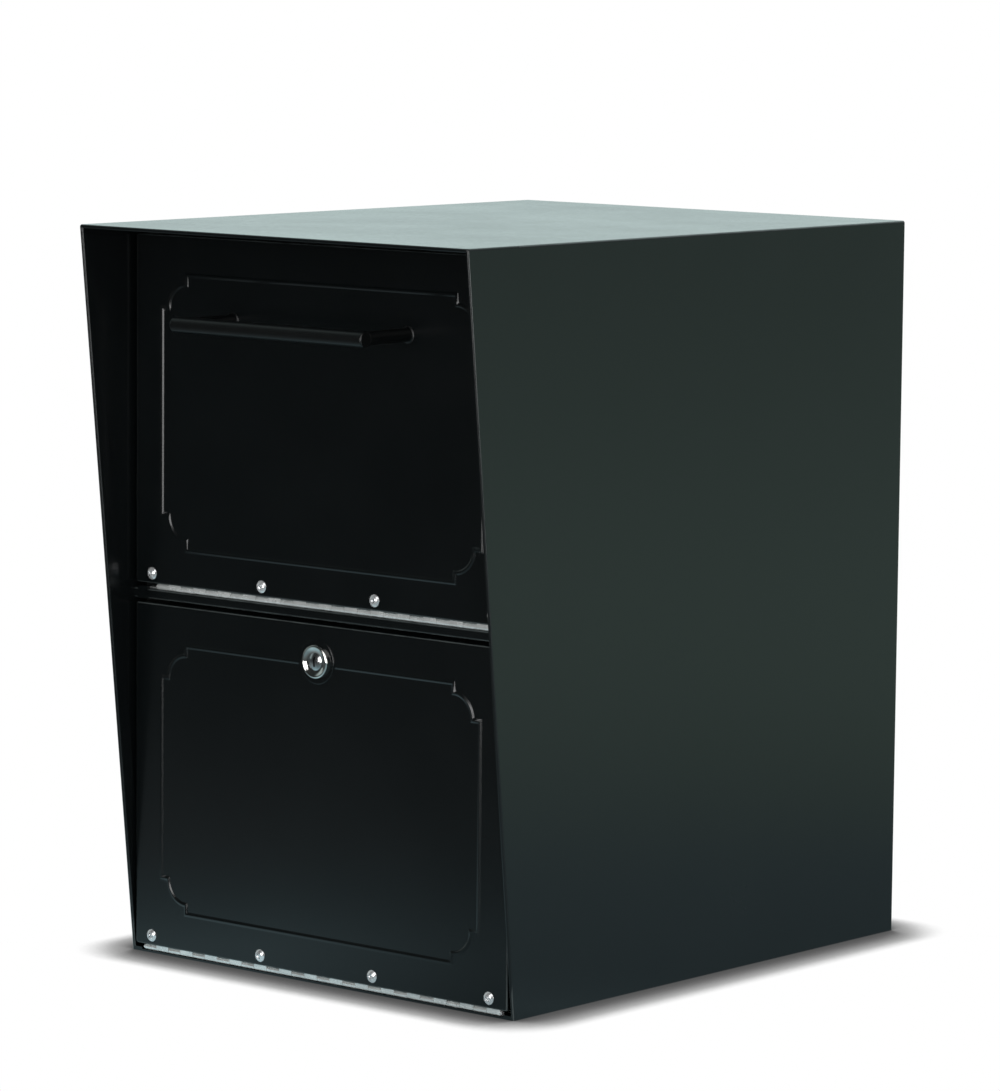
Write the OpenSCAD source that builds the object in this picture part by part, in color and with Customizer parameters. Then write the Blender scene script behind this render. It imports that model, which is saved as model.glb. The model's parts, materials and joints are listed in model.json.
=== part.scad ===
// Parcel drop box: a folded steel casing with a hooded front, a pull-down hopper door
// above and a locked collection door below. Both doors hang on piano hinges.
// Origin: centre of the base anchor pattern, on the underside of the floor pan.
// +X is the box's right as seen from the front, +Y runs to the back, +Z is up.

/* [Casing] */
// Width over the side panels
width = 381; // [370:1:410]
// Depth from the front plane to the rear edge
depth = 457.2; // [440:1:520]
// Height over the top panel
height = 555; // [550:1:580]
// Reach of the hood in front of the front plane, at the top
hood_reach = 57.2; // [30:1:70]
// Thickness of the sheet steel
sheet = 1.5; // [1.2:0.1:1.6]
// Width of the folded hem along the front edges
hem_w = 12; // [8:1:12]
// Width of the return flanges behind the rear edges
return_w = 12; // [10:1:15]

/* [Doors] */
// Height of the upper hinge axis
upper_hinge_z = 281; // [276:1:286]
// Gap between a door and the side panel on each side
side_gap = 3.5; // [3:0.1:4]
// Distance that the door faces stand proud of the front plane
door_proud = 1.8; // [1.6:0.1:2]
// Depth of the door edges behind the front plane
door_back = 12; // [11:0.5:12]
// Opening angle of the hopper door
upper_open = 45; // [35:1:46]

/* [Panel beads] */
// Half width of the beaded outline on each door
panel_half_x = 158; // [150:1:165]
// Side of the square cut from each corner of the outline
corner_cut = 25.4; // [20:0.2:30]
// Radius of the quarter arc in each corner
corner_r = 18.3; // [14:0.1:19]
// Width of the pressed bead
bead_w = 4; // [3:0.1:5]
// Height of the bead above the door's face
bead_h = 0.9; // [0.5:0.1:1]

/* [Hinges] */
// Length of one knuckle with its gap
knuckle_pitch = 12.7; // [12.7:0.1:12.7]
// Outer radius of a knuckle
knuckle_r = 2.2; // [2.1:0.05:2.2]
// Radius of the hinge pins
pin_r = 1.1; // [0.9:0.05:1.1]
// Radial clearance between a pin and the knuckles
pin_clear = 0.05; // [0.03:0.01:0.06]
// Thickness of the hinge leaves
leaf_t = 1.0; // [0.8:0.1:1]
// Height of the hinge screws above the hinge axis
screw_rise = 10; // [9:0.5:11]
// Radius of the domed hinge screw heads
screw_head_r = 4.75; // [4:0.25:5]

/* [Hopper] */
// Radius of the cheeks about the hinge axis
hopper_r = 249.5; // [240:0.5:249.5]
// Distance of each cheek's inner face from the middle
cheek_x = 160; // [150:1:160]
// Depth of the tray's rear edge behind the front plane
tray_reach = 245; // [225:1:245]
// Fall of the tray from its front to its rear edge
tray_drop = 60; // [50:1:62]

/* [Handle] */
// Half length of the handle bar
bar_half_x = 94; // [80:1:110]
// Radius of the handle bar
bar_r = 6; // [5:0.5:7]
// Height of the handle above the base
handle_z = 486; // [470:1:500]
// Distance of the bar's centre in front of the front plane
bar_out = 55; // [45:1:56]
// Distance of each post from the middle
post_x = 86; // [70:1:86]
// Radius of the handle posts
post_r = 5; // [4:0.5:5.5]

/* [Lock] */
// Height of the lock's axis above the base
lock_z = 240.9; // [238:0.1:241]
// Radius of the bright bezel
bezel_r = 12.5; // [12:0.5:14]
// Radius of the threaded lock barrel
barrel_r = 9.5; // [9:0.5:9.5]
// Radius of the turning plug
plug_r = 6.5; // [6:0.1:6.5]
// Length of the cam from the lock's axis to its tip
cam_reach = 28; // [26:1:28]

/* [Base anchors] */
// Radius of the anchor holes in the floor
anchor_r = 5.25; // [4:0.25:6]
// Spacing of the anchor holes across the box
anchor_dx = 254; // [200:1:280]
// Spacing of the anchor holes from front to back
anchor_dy = 304.8; // [200:1:320]

/* [Hidden] */
$fn = 72;
paint = [0.10, 0.12, 0.12];
paint_inner = [0.15, 0.17, 0.17];
zinc = [0.72, 0.74, 0.74];
bright = [0.85, 0.86, 0.87];
foam = [0.05, 0.05, 0.05];

// Casing
eps = 0.01;
front_y = -depth / 2;
inner_x = width / 2 - sheet;
under_top = height - sheet;
frame_front = door_back + 1.5;
frame_back = frame_front + sheet;
jamb_x = 165;
jamb_side_y = 45;
jamb_lip_y = 27;
header_z = 534;
header_top_y = 40;
pan_lip_z = 22;
pan_lip_gap = 1;
pan_corner_gap = 2.7;

// Doors
door_x = inner_x - side_gap;
skin_back = sheet - door_proud;
leaf_set = knuckle_r + 0.1;
hinge_y = skin_back + leaf_set;
lower_hinge_z = sheet + leaf_set;
door_foot = 2.4;
upper_skin_z = [upper_hinge_z + door_foot, height - 8.5];
lower_skin_z = [lower_hinge_z + door_foot, upper_hinge_z - 12.7];
upper_panel_z = [311.2, 517.4];
lower_panel_z = [34.6, 238.8];
bead_wall = 0.8;
bead_gap = 0.3;
liner_front = door_back - sheet;
liner_foot = 4;
liner_rim_y = 3;

// Cross rail between the two doors
rail_top = upper_hinge_z - leaf_set;
rail_foot = upper_hinge_z - 10;
rail_depth = 25;
rail_back_z = 262;
strike_z = 254;
clip_x = [174, 184];
clip_top = rail_top + 1.8;
clip_proud = 1.2;

// Hinges
upper_knuckles = 26;
lower_knuckles = 28;
knuckle_gap = 0.3;
knuckle_swing = 2.6;
leaf_half_x = lower_knuckles / 2 * knuckle_pitch;
door_leaf_z = 17;
frame_leaf_y = frame_front - 0.2;
pin_head_r = 1.6;
pin_head_t = 0.8;
screw_xs = [-168.4, -56, 56, 168.4];
screw_head_h = 2.4;
screw_r = 2.4;
hole_clear = 0.2;
screw_end_y = 6;
nut_af_r = 4.6;
nut_t = 3.5;
recess_w = 1.1;
recess_l = 5;
recess_d = 1;
leaf_rivet_xs = [-150, -90, -30, 30, 90, 150];
leaf_rivet_y = 9;

// Rivets
rivet_r = 1.6;
rivet_hole_r = 1.65;
rivet_head_r = 3.2;
rivet_head_h = 1.2;
rivet_tail_r = 2.3;
rivet_tail_h = 1;

// Hopper
tray_front_z = upper_hinge_z + 3;
tray_bend_y = 30;
tray_angle = atan(tray_drop / (tray_reach - tray_bend_y));
tray_slant = sheet / cos(tray_angle);
tray_flange_z = 304;
tray_lip = 8;
cheek_flange_x = 12;
cheek_flange_z = [308, 520];
cheek_foot_y = [40, 235];
hopper_rivet_x = cheek_x - cheek_flange_x / 2;
tray_rivet_xs = [-120, -40, 40, 120];
tray_rivet_z = 295;
cheek_rivet_zs = [330, 400, 470];
foot_rivet_ys = [80, 150, 220];

// Opening stop of the hopper door
bumper_t = 2;
bumper_back = frame_back + bumper_t;
bumper_x = [150, 160];
bumper_h = 12;
lug_gap = 0.3;
lug_r = [238, 257.5];
lug_pad_r = 244;
lug_w = 10;
lug_l = 14;
lug_rise = header_z - upper_hinge_z;
lug_angle = atan(lug_rise / (bumper_back + lug_gap - hinge_y)) - upper_open;

// Baffle
baffle_top = [140, under_top];
baffle_low = [245, 400];
baffle_run = baffle_low - baffle_top;
baffle_len = norm(baffle_run);
baffle_dir = baffle_run / baffle_len;
baffle_out = [-baffle_dir[1], baffle_dir[0]];
baffle_lip = 10;
baffle_flange_w = 19;

// Seals
seal_gap = 0.1;
seal_front = door_back + seal_gap;
seal_x = [168, 183];
seal_top_h = 9;
upper_seal_z = [upper_hinge_z + 9, upper_skin_z[1] - 1.5];
lower_seal_z = [12, 266];

// Handle
handle_screw_r = 2.4;
handle_screw_in = 12;
handle_head_r = 4.5;
handle_head_h = 2.6;
bar_end_bevel = 0.8;

// Lock
escutcheon_r = 17;
escutcheon_t = 0.8;
bezel_t = 2.9;
bezel_front = door_proud + escutcheon_t + bezel_t;
plug_clear = 0.05;
plug_recess = 1.6;
plug_dome_h = 1.5;
barrel_end = 17;
keyway = [1.8, 7.6];
keyway_d = 12;
lock_hole_r = 9.6;
lock_access_r = 17;
lock_nut_r = 14;
lock_nut_t = 4;
cam_gap = 0.2;
cam_t = 2.4;
cam_half_w = 7;
tail_half = 3;
tail_clear = 0.05;
cam_screw_r = 1.6;
cam_screw_in = 8;
cam_screw_head_r = 3.6;
cam_screw_head_h = 2.2;
cam_washer_r = 5;
cam_washer_t = 0.8;

// Rear panel rivets
back_rivet_side_zs = [30, 130, 230, 330, 430, 525];
back_rivet_xs = [-120, 0, 120];
back_rivet_low_z = 13;

// ---- Placing and shaping helpers ----

// Moves geometry measured from the front plane into the part's own frame.
module from_front() {
    translate([0, front_y, 0])
        children();
}

module both_sides() {
    children();
    mirror([1, 0, 0])
        children();
}

module block(low, high) {
    translate(low)
        cube(high - low);
}

module square_from(low, high) {
    translate(low)
        square(high - low);
}

// Extrudes a profile drawn in (Y, Z) along X.
module along_x(x_low, x_high) {
    translate([x_low, 0, 0])
        rotate([90, 0, 90])
            linear_extrude(x_high - x_low)
                children();
}

// Extrudes an outline drawn in (X, Z) along Y.
module facing(y_low, y_high) {
    translate([0, y_high, 0])
        rotate([90, 0, 0])
            linear_extrude(y_high - y_low)
                children();
}

// A round bar along Y, from y_low to y_high.
module rod_y(x, z, r, y_low, y_high) {
    translate([x, y_high, z])
        rotate([90, 0, 0])
            cylinder(r = r, h = y_high - y_low);
}

// A round bar along X, from x_low to x_high.
module rod_x(y, z, r, x_low, x_high) {
    translate([x_low, y, z])
        rotate([0, 90, 0])
            cylinder(r = r, h = x_high - x_low);
}

// A domed head that rises along +Z from its flat side.
module dome(r, h) {
    ball_r = (r * r + h * h) / (2 * h);
    intersection() {
        translate([0, 0, h - ball_r])
            sphere(r = ball_r);
        cylinder(r = r, h = h);
    }
}

// A rivet along Z: the dome stands on z = 0, the grip goes down, then the tail.
module rivet(grip, tail) {
    dome(rivet_head_r, rivet_head_h);
    translate([0, 0, -grip])
        cylinder(r = rivet_r, h = grip + eps);
    if (tail)
        translate([0, 0, -grip - rivet_tail_h])
            cylinder(r = rivet_tail_r, h = rivet_tail_h);
}

// ---- Casing ----

function hood_edge(z) = -hood_reach * z / height;

// Everything in front of the slanted front edges.
module front_cut() {
    beyond = 10;
    along_x(-width, width)
        polygon([
            [hood_edge(-beyond), -beyond],
            [hood_edge(height + beyond), height + beyond],
            [-width, height + beyond],
            [-width, -beyond]
        ]);
}

// The folded strip inside a side panel, parallel to its slanted front edge.
module side_hem() {
    low = 2 * sheet;
    top = under_top - sheet + eps;
    along_x(inner_x - sheet, inner_x + eps)
        polygon([
            [-2 * hood_reach, low],
            [hood_edge(low) + hem_w, low],
            [hood_edge(top) + hem_w, top],
            [-2 * hood_reach, top]
        ]);
}

// Two sides and a top in one folded sheet, with a hem round the front edge.
module hood_shell() {
    joined_x = inner_x + eps;
    joined_z = height - eps;
    return_y = [depth - 2 * sheet, depth - sheet];
    color(paint) from_front() difference() {
        union() {
            both_sides() {
                block([inner_x, -hood_reach, 0], [width / 2, depth, height]);
                side_hem();
                block([inner_x - return_w, return_y[0], sheet], [joined_x, return_y[1], joined_z]);
            }
            block([-joined_x, -hood_reach, under_top], [joined_x, depth, height]);
            block([-joined_x, -hood_reach, under_top - sheet], [joined_x, hem_w - hood_reach, joined_z]);
            block([-joined_x, return_y[0], under_top - return_w], [joined_x, return_y[1], joined_z]);
        }
        front_cut();
    }
}

// Places a child at each rear rivet, with its head outward.
module at_back_rivets() {
    side_x = inner_x - return_w / 2;
    spots = concat(
        [for (z = back_rivet_side_zs) [-side_x, z]],
        [for (z = back_rivet_side_zs) [side_x, z]],
        [for (x = back_rivet_xs) [x, back_rivet_low_z]],
        [for (x = back_rivet_xs) [x, under_top - return_w / 2]]
    );
    for (spot = spots)
        translate([spot[0], depth, spot[1]])
            rotate([-90, 0, 0])
                children();
}

module back_panel() {
    color(paint) from_front() difference() {
        block([-inner_x, depth - sheet, 0], [inner_x, depth, under_top]);
        at_back_rivets()
            translate([0, 0, -2 * sheet])
                cylinder(r = rivet_hole_r, h = 3 * sheet);
    }
}

module back_rivets() {
    color(paint) from_front()
        at_back_rivets()
            rivet(sheet, false);
}

module at_anchors() {
    for (x = [-1, 1] * anchor_dx / 2)
        for (y = [-1, 1] * anchor_dy / 2)
            translate([x, depth / 2 + y, 0])
                children();
}

// Places a child at each rivet of a frame leaf, at the leaf's upper face.
module at_leaf_rivets(axis_z) {
    for (x = leaf_rivet_xs)
        translate([x, leaf_rivet_y, axis_z - leaf_set + leaf_t])
            children();
}

module leaf_rivet_holes(axis_z) {
    at_leaf_rivets(axis_z)
        translate([0, 0, -4 * sheet])
            cylinder(r = rivet_hole_r, h = 5 * sheet);
}

module floor_pan() {
    corner_x = leaf_half_x + pan_corner_gap;
    side_lip_y = jamb_side_y + 2 * pan_lip_gap;
    lip_x = inner_x - return_w - pan_lip_gap;
    color(paint) from_front() difference() {
        union() {
            block([-inner_x, 0, 0], [inner_x, depth - sheet, sheet]);
            both_sides() {
                block([inner_x - sheet, side_lip_y, 0], [inner_x, depth - 3 * sheet, pan_lip_z]);
                block([corner_x, 0, 0], [inner_x, hem_w, 2 * sheet]);
            }
            block([-lip_x, depth - 2 * sheet, 0], [lip_x, depth - sheet, pan_lip_z]);
        }
        at_anchors()
            translate([0, 0, -sheet])
                cylinder(r = anchor_r, h = 3 * sheet);
        leaf_rivet_holes(lower_hinge_z);
    }
}

module jamb() {
    color(paint_inner) from_front()
        translate([0, 0, sheet])
            linear_extrude(under_top - sheet) {
                square_from([jamb_x, frame_front], [inner_x, frame_back]);
                square_from([inner_x - sheet, frame_front], [inner_x, jamb_side_y]);
                square_from([jamb_x, frame_front], [jamb_x + sheet, jamb_lip_y]);
            }
}

module right_jamb() {
    jamb();
}

module left_jamb() {
    mirror([1, 0, 0])
        jamb();
}

module header_rail() {
    color(paint_inner) from_front()
        along_x(-jamb_x, jamb_x) {
            square_from([frame_front, header_z], [frame_back, under_top]);
            square_from([frame_front, under_top - sheet], [header_top_y, under_top]);
        }
}

module cross_rail() {
    color(paint) from_front() difference() {
        along_x(-inner_x, inner_x) {
            square_from([0, rail_top - sheet], [rail_depth, rail_top]);
            square_from([0, rail_foot], [sheet, rail_top]);
            square_from([0, rail_foot], [frame_back, rail_foot + sheet]);
            square_from([frame_front, strike_z], [frame_back, rail_foot + sheet]);
            square_from([rail_depth - sheet, rail_back_z], [rail_depth, rail_top]);
        }
        both_sides()
            block([jamb_x, frame_front, strike_z - 1], [width, rail_depth + 1, rail_top + 1]);
        leaf_rivet_holes(upper_hinge_z);
    }
}

module rail_end_clips() {
    color(paint) from_front() both_sides() {
        block([clip_x[0], -clip_proud, rail_foot], [clip_x[1], 0, clip_top]);
        block([clip_x[0], -clip_proud, rail_top], [clip_x[1], sheet, clip_top]);
    }
}

module baffle_outline() {
    thick = baffle_out * sheet;
    lip = baffle_out * baffle_lip;
    intersection() {
        union() {
            polygon([
                baffle_top - baffle_dir * sheet,
                baffle_low,
                baffle_low + thick,
                baffle_top - baffle_dir * sheet + thick
            ]);
            polygon([
                baffle_low - baffle_dir * sheet,
                baffle_low,
                baffle_low + lip,
                baffle_low + lip - baffle_dir * sheet
            ]);
        }
        square_from([0, 0], [depth, under_top]);
    }
}

module baffle_plate() {
    flange = baffle_out * return_w;
    flange_y = baffle_top[0] + 1;
    color(paint_inner) from_front() {
        along_x(-inner_x, inner_x) {
            baffle_outline();
            square_from([flange_y, under_top - sheet], [flange_y + baffle_flange_w, under_top]);
        }
        both_sides()
            along_x(inner_x - sheet, inner_x)
                intersection() {
                    polygon([baffle_top, baffle_low, baffle_low + flange, baffle_top + flange]);
                    square_from([0, 0], [depth, under_top]);
                }
    }
}

module stop_bumpers() {
    color(foam) from_front() both_sides()
        block([bumper_x[0], frame_back, header_z], [bumper_x[1], bumper_back, header_z + bumper_h]);
}

// A seal strip down both jambs and across the top of a doorway.
module seal(z_range) {
    color(foam) from_front() {
        both_sides()
            block([seal_x[0], seal_front, z_range[0]], [seal_x[1], frame_front, z_range[1]]);
        block(
            [-seal_x[1], seal_front, z_range[1] - seal_top_h],
            [seal_x[1], frame_front, z_range[1]]
        );
    }
}

module upper_seal() {
    seal(upper_seal_z);
}

module lower_seal() {
    seal(lower_seal_z);
}

// ---- Hinges ----

function knuckle_start(i, count) = (i - count / 2) * knuckle_pitch + knuckle_gap / 2;

// Every second knuckle of a hinge, each with the strap that joins it to its leaf.
module knuckle_row(axis_z, count, first, on_door) {
    for (i = [first : 2 : count - 1]) {
        x = knuckle_start(i, count);
        x_end = x + knuckle_pitch - knuckle_gap;
        rod_x(hinge_y, axis_z, knuckle_r, x, x_end);
        if (on_door)
            block(
                [x, hinge_y - leaf_set, axis_z],
                [x_end, hinge_y - leaf_set + leaf_t, axis_z + knuckle_swing + eps]
            );
        else
            block(
                [x, hinge_y, axis_z - leaf_set],
                [x_end, hinge_y + knuckle_swing + eps, axis_z - leaf_set + leaf_t]
            );
    }
}

module pin_bore(axis_z) {
    rod_x(hinge_y, axis_z, pin_r + pin_clear, -width / 2, width / 2);
}

module door_leaf(axis_z, count) {
    color(zinc) from_front() difference() {
        union() {
            block(
                [-leaf_half_x, hinge_y - leaf_set, axis_z + knuckle_swing],
                [leaf_half_x, hinge_y - leaf_set + leaf_t, axis_z + door_leaf_z]
            );
            knuckle_row(axis_z, count, 1, true);
        }
        pin_bore(axis_z);
        screw_holes(axis_z);
    }
}

module frame_leaf(axis_z, count) {
    color(zinc) from_front() difference() {
        union() {
            block(
                [-leaf_half_x, hinge_y + knuckle_swing, axis_z - leaf_set],
                [leaf_half_x, frame_leaf_y, axis_z - leaf_set + leaf_t]
            );
            knuckle_row(axis_z, count, 0, false);
        }
        pin_bore(axis_z);
        leaf_rivet_holes(axis_z);
    }
}

module hinge_pin(axis_z, count) {
    end_x = count / 2 * knuckle_pitch + knuckle_gap;
    color(bright) from_front() {
        rod_x(hinge_y, axis_z, pin_r, -end_x - eps, end_x + eps);
        both_sides()
            rod_x(hinge_y, axis_z, pin_head_r, end_x, end_x + pin_head_t);
    }
}

module at_screws(axis_z) {
    for (x = screw_xs)
        translate([x, 0, axis_z + screw_rise])
            children();
}

module screw_holes(axis_z) {
    at_screws(axis_z)
        rod_y(0, 0, screw_r + hole_clear, -2 * door_proud, 2 * door_proud);
}

// One domed screw along +Y, with a cross recess in its head.
module domed_screw() {
    difference() {
        translate([0, -door_proud, 0])
            rotate([90, 0, 0])
                dome(screw_head_r, screw_head_h);
        for (turn = [0, 90])
            translate([0, -door_proud - screw_head_h, 0])
                rotate([0, turn, 0])
                    cube([recess_l, 2 * recess_d, recess_w], center = true);
    }
    rod_y(0, 0, screw_r, -door_proud - eps, screw_end_y);
}

module door_screws(axis_z) {
    color(bright) from_front()
        at_screws(axis_z)
            domed_screw();
}

module door_nuts(axis_z) {
    nut_front = hinge_y - leaf_set + leaf_t;
    color(zinc) from_front()
        at_screws(axis_z)
            difference() {
                translate([0, nut_front + nut_t, 0])
                    rotate([90, 0, 0])
                        cylinder(r = nut_af_r, h = nut_t, $fn = 6);
                rod_y(0, 0, screw_r + pin_clear, 0, screw_end_y);
            }
}

module upper_frame_leaf() {
    frame_leaf(upper_hinge_z, upper_knuckles);
}

module lower_frame_leaf() {
    frame_leaf(lower_hinge_z, lower_knuckles);
}

module upper_door_leaf() {
    door_leaf(upper_hinge_z, upper_knuckles);
}

module lower_door_leaf() {
    door_leaf(lower_hinge_z, lower_knuckles);
}

module upper_hinge_pin() {
    hinge_pin(upper_hinge_z, upper_knuckles);
}

module lower_hinge_pin() {
    hinge_pin(lower_hinge_z, lower_knuckles);
}

module upper_leaf_rivets() {
    color(zinc) from_front()
        at_leaf_rivets(upper_hinge_z)
            rivet(leaf_t + sheet, true);
}

module lower_leaf_rivets() {
    color(zinc) from_front()
        at_leaf_rivets(lower_hinge_z)
            rivet(leaf_t + sheet, false);
}

module upper_hinge_screws() {
    door_screws(upper_hinge_z);
}

module lower_hinge_screws() {
    door_screws(lower_hinge_z);
}

module upper_hinge_nuts() {
    door_nuts(upper_hinge_z);
}

module lower_hinge_nuts() {
    door_nuts(lower_hinge_z);
}

// ---- Door panels ----

// Panel outline, drawn in by `inset`: square-cut corners, each with a quarter disc.
module panel_outline(z_range, inset) {
    square_from([-panel_half_x + inset, z_range[0] + corner_cut + inset],
                [panel_half_x - inset, z_range[1] - corner_cut - inset]);
    square_from([-panel_half_x + corner_cut + inset, z_range[0] + inset],
                [panel_half_x - corner_cut - inset, z_range[1] - inset]);
    for (x = [-1, 1] * (panel_half_x - corner_cut))
        for (z = [z_range[0] + corner_cut, z_range[1] - corner_cut])
            translate([x, z])
                circle(r = corner_r - inset);
}

// The ring that a bead follows round the outline, broken off where the lock sits.
module bead_ring(z_range, ring_w) {
    difference() {
        panel_outline(z_range, -ring_w / 2);
        panel_outline(z_range, ring_w / 2);
        translate([0, lock_z])
            circle(r = escutcheon_r + bead_gap);
    }
}

// A door's outer sheet: a face with its side and top edges folded back, and a bead
// pressed outward, so that it is a ridge on the face and a channel behind it.
module door_skin(z_range, panel_z, axis_z) {
    difference() {
        union() {
            block([-door_x, -door_proud, z_range[0]], [door_x, skin_back, z_range[1]]);
            block([-door_x, -door_proud, z_range[1] - sheet], [door_x, door_back, z_range[1]]);
            both_sides()
                block([door_x - sheet, -door_proud, z_range[0]], [door_x, door_back, z_range[1]]);
            facing(-door_proud - bead_h, eps - door_proud)
                bead_ring(panel_z, bead_w);
        }
        facing(skin_back - bead_h, skin_back + 1)
            bead_ring(panel_z, bead_w - 2 * bead_wall);
        screw_holes(axis_z);
    }
}

// A door's inner sheet: a flat back with a rim turned forward inside the skin's edges.
module door_liner(z_range, axis_z) {
    x = door_x - sheet;
    top = z_range[1] - sheet;
    foot = axis_z + liner_foot;
    difference() {
        block([-x, liner_rim_y, foot], [x, door_back, top]);
        block([-x + sheet, liner_rim_y - 1, foot - 1], [x - sheet, liner_front, top - sheet]);
    }
}

module at_posts() {
    for (x = [-1, 1] * post_x)
        translate([x, 0, handle_z])
            children();
}

module upper_door_skin() {
    color(paint) from_front() difference() {
        door_skin(upper_skin_z, upper_panel_z, upper_hinge_z);
        at_posts()
            rod_y(0, 0, handle_screw_r + hole_clear, -2 * door_proud, 2 * door_proud);
    }
}

module upper_door_liner() {
    color(paint_inner) from_front() difference() {
        door_liner(upper_skin_z, upper_hinge_z);
        at_hopper_face_rivets()
            translate([0, 0, -4 * sheet])
                cylinder(r = rivet_hole_r, h = 5 * sheet);
    }
}

module lower_door_skin() {
    color(paint) from_front() difference() {
        door_skin(lower_skin_z, lower_panel_z, lower_hinge_z);
        rod_y(0, lock_z, lock_hole_r, -2 * door_proud, 2 * door_proud);
    }
}

module lower_door_liner() {
    color(paint_inner) from_front() difference() {
        door_liner(lower_skin_z, lower_hinge_z);
        rod_y(0, lock_z, lock_access_r, liner_rim_y, door_back + 1);
    }
}

// ---- Handle ----

module handle() {
    color(paint) from_front() difference() {
        union() {
            rod_x(-bar_out, handle_z, bar_r, -bar_half_x, bar_half_x);
            at_posts()
                rod_y(0, 0, post_r, -bar_out, -door_proud);
        }
        at_posts()
            rod_y(0, 0, handle_screw_r + pin_clear, -door_proud - handle_screw_in, 0);
        both_sides()
            bar_end_cut();
    }
}

// Takes the sharp corner off the end of the bar.
module bar_end_cut() {
    translate([bar_half_x - bar_end_bevel, -bar_out, handle_z])
        rotate([0, 90, 0])
            rotate_extrude()
                polygon([
                    [bar_r, -eps],
                    [bar_r + 1, -eps],
                    [bar_r + 1, 2 * bar_end_bevel],
                    [bar_r - 2 * bar_end_bevel, 2 * bar_end_bevel]
                ]);
}

module handle_screws() {
    color(zinc) from_front()
        at_posts() {
            translate([0, skin_back, 0])
                rotate([-90, 0, 0])
                    dome(handle_head_r, handle_head_h);
            rod_y(0, 0, handle_screw_r, 1 - door_proud - handle_screw_in, skin_back + eps);
        }
}

// ---- Hopper ----

function tray_under(y) = tray_front_z - max(0, y - tray_bend_y) * tan(tray_angle);

module hopper_tray() {
    end_y = tray_reach - sheet;
    color(paint_inner) from_front() difference() {
        along_x(-cheek_x, cheek_x) {
            square_from([door_back, tray_front_z], [door_back + sheet, tray_flange_z]);
            polygon([
                [door_back, tray_front_z],
                [tray_bend_y, tray_front_z],
                [tray_reach, tray_under(tray_reach)],
                [tray_reach, tray_under(tray_reach) + tray_slant],
                [tray_bend_y, tray_front_z + tray_slant],
                [door_back, tray_front_z + sheet]
            ]);
            square_from(
                [end_y, tray_under(tray_reach) - tray_lip],
                [tray_reach, tray_under(tray_reach) + eps]
            );
        }
        at_hopper_face_rivets()
            translate([0, 0, -4 * sheet])
                cylinder(r = rivet_hole_r, h = 5 * sheet);
        at_hopper_foot_rivets()
            translate([0, 0, -4 * sheet])
                cylinder(r = rivet_hole_r, h = 5 * sheet);
    }
}

module cheek_outline() {
    far = 2 * hopper_r;
    intersection() {
        translate([hinge_y, upper_hinge_z])
            circle(r = hopper_r, $fn = 180);
        polygon([
            [door_back, tray_front_z],
            [tray_bend_y, tray_front_z],
            [far, tray_under(far) - tray_slant],
            [far, upper_hinge_z + far],
            [door_back, upper_hinge_z + far]
        ]);
    }
}

module cheek() {
    flange_low_x = cheek_x - cheek_flange_x;
    ya = cheek_foot_y[0];
    yb = cheek_foot_y[1];
    color(paint_inner) from_front() difference() {
        union() {
            along_x(cheek_x, cheek_x + sheet)
                cheek_outline();
            block([flange_low_x, door_back, cheek_flange_z[0]],
                  [cheek_x + sheet, door_back + sheet, cheek_flange_z[1]]);
            along_x(flange_low_x, cheek_x + sheet)
                polygon([
                    [ya, tray_under(ya) - tray_slant],
                    [yb, tray_under(yb) - tray_slant],
                    [yb, tray_under(yb)],
                    [ya, tray_under(ya)]
                ]);
        }
        at_hopper_face_rivets()
            translate([0, 0, -4 * sheet])
                cylinder(r = rivet_hole_r, h = 5 * sheet);
        at_hopper_foot_rivets()
            translate([0, 0, -4 * sheet])
                cylinder(r = rivet_hole_r, h = 5 * sheet);
    }
}

module right_cheek() {
    cheek();
}

module left_cheek() {
    mirror([1, 0, 0])
        cheek();
}

// Rivets that hold the tray and the cheeks to the door's inner sheet.
module at_hopper_face_rivets() {
    spots = concat(
        [for (x = tray_rivet_xs) [x, tray_rivet_z]],
        [for (z = cheek_rivet_zs) [hopper_rivet_x, z]],
        [for (z = cheek_rivet_zs) [-hopper_rivet_x, z]]
    );
    for (spot = spots)
        translate([spot[0], door_back + sheet, spot[1]])
            rotate([-90, 0, 0])
                children();
}

// Rivets that hold the tray to the feet of the cheeks.
module at_hopper_foot_rivets() {
    for (x = [-1, 1] * hopper_rivet_x)
        for (y = foot_rivet_ys)
            translate([x, y, tray_under(y) + tray_slant])
                rotate([-tray_angle, 0, 0])
                    children();
}

module hopper_rivets() {
    color(zinc) from_front() {
        at_hopper_face_rivets()
            rivet(2 * sheet, true);
        at_hopper_foot_rivets()
            rivet(2 * sheet, true);
    }
}

// Angle brackets on the cheeks that meet the header's bumpers when the door is open.
module stop_lugs() {
    color(paint_inner) from_front() both_sides()
        translate([0, hinge_y, upper_hinge_z])
            rotate([lug_angle, 0, 0]) {
                block([cheek_x - sheet, lug_r[0], -lug_l], [cheek_x, lug_r[1], 0]);
                block([cheek_x - lug_w, lug_pad_r, -sheet], [cheek_x, lug_r[1], 0]);
            }
}

// ---- Lock ----

module lock_escutcheon() {
    color(paint) from_front()
        difference() {
            rod_y(0, lock_z, escutcheon_r, -door_proud - escutcheon_t, -door_proud);
            rod_y(0, lock_z, lock_hole_r, -bezel_front, 0);
        }
}

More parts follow.
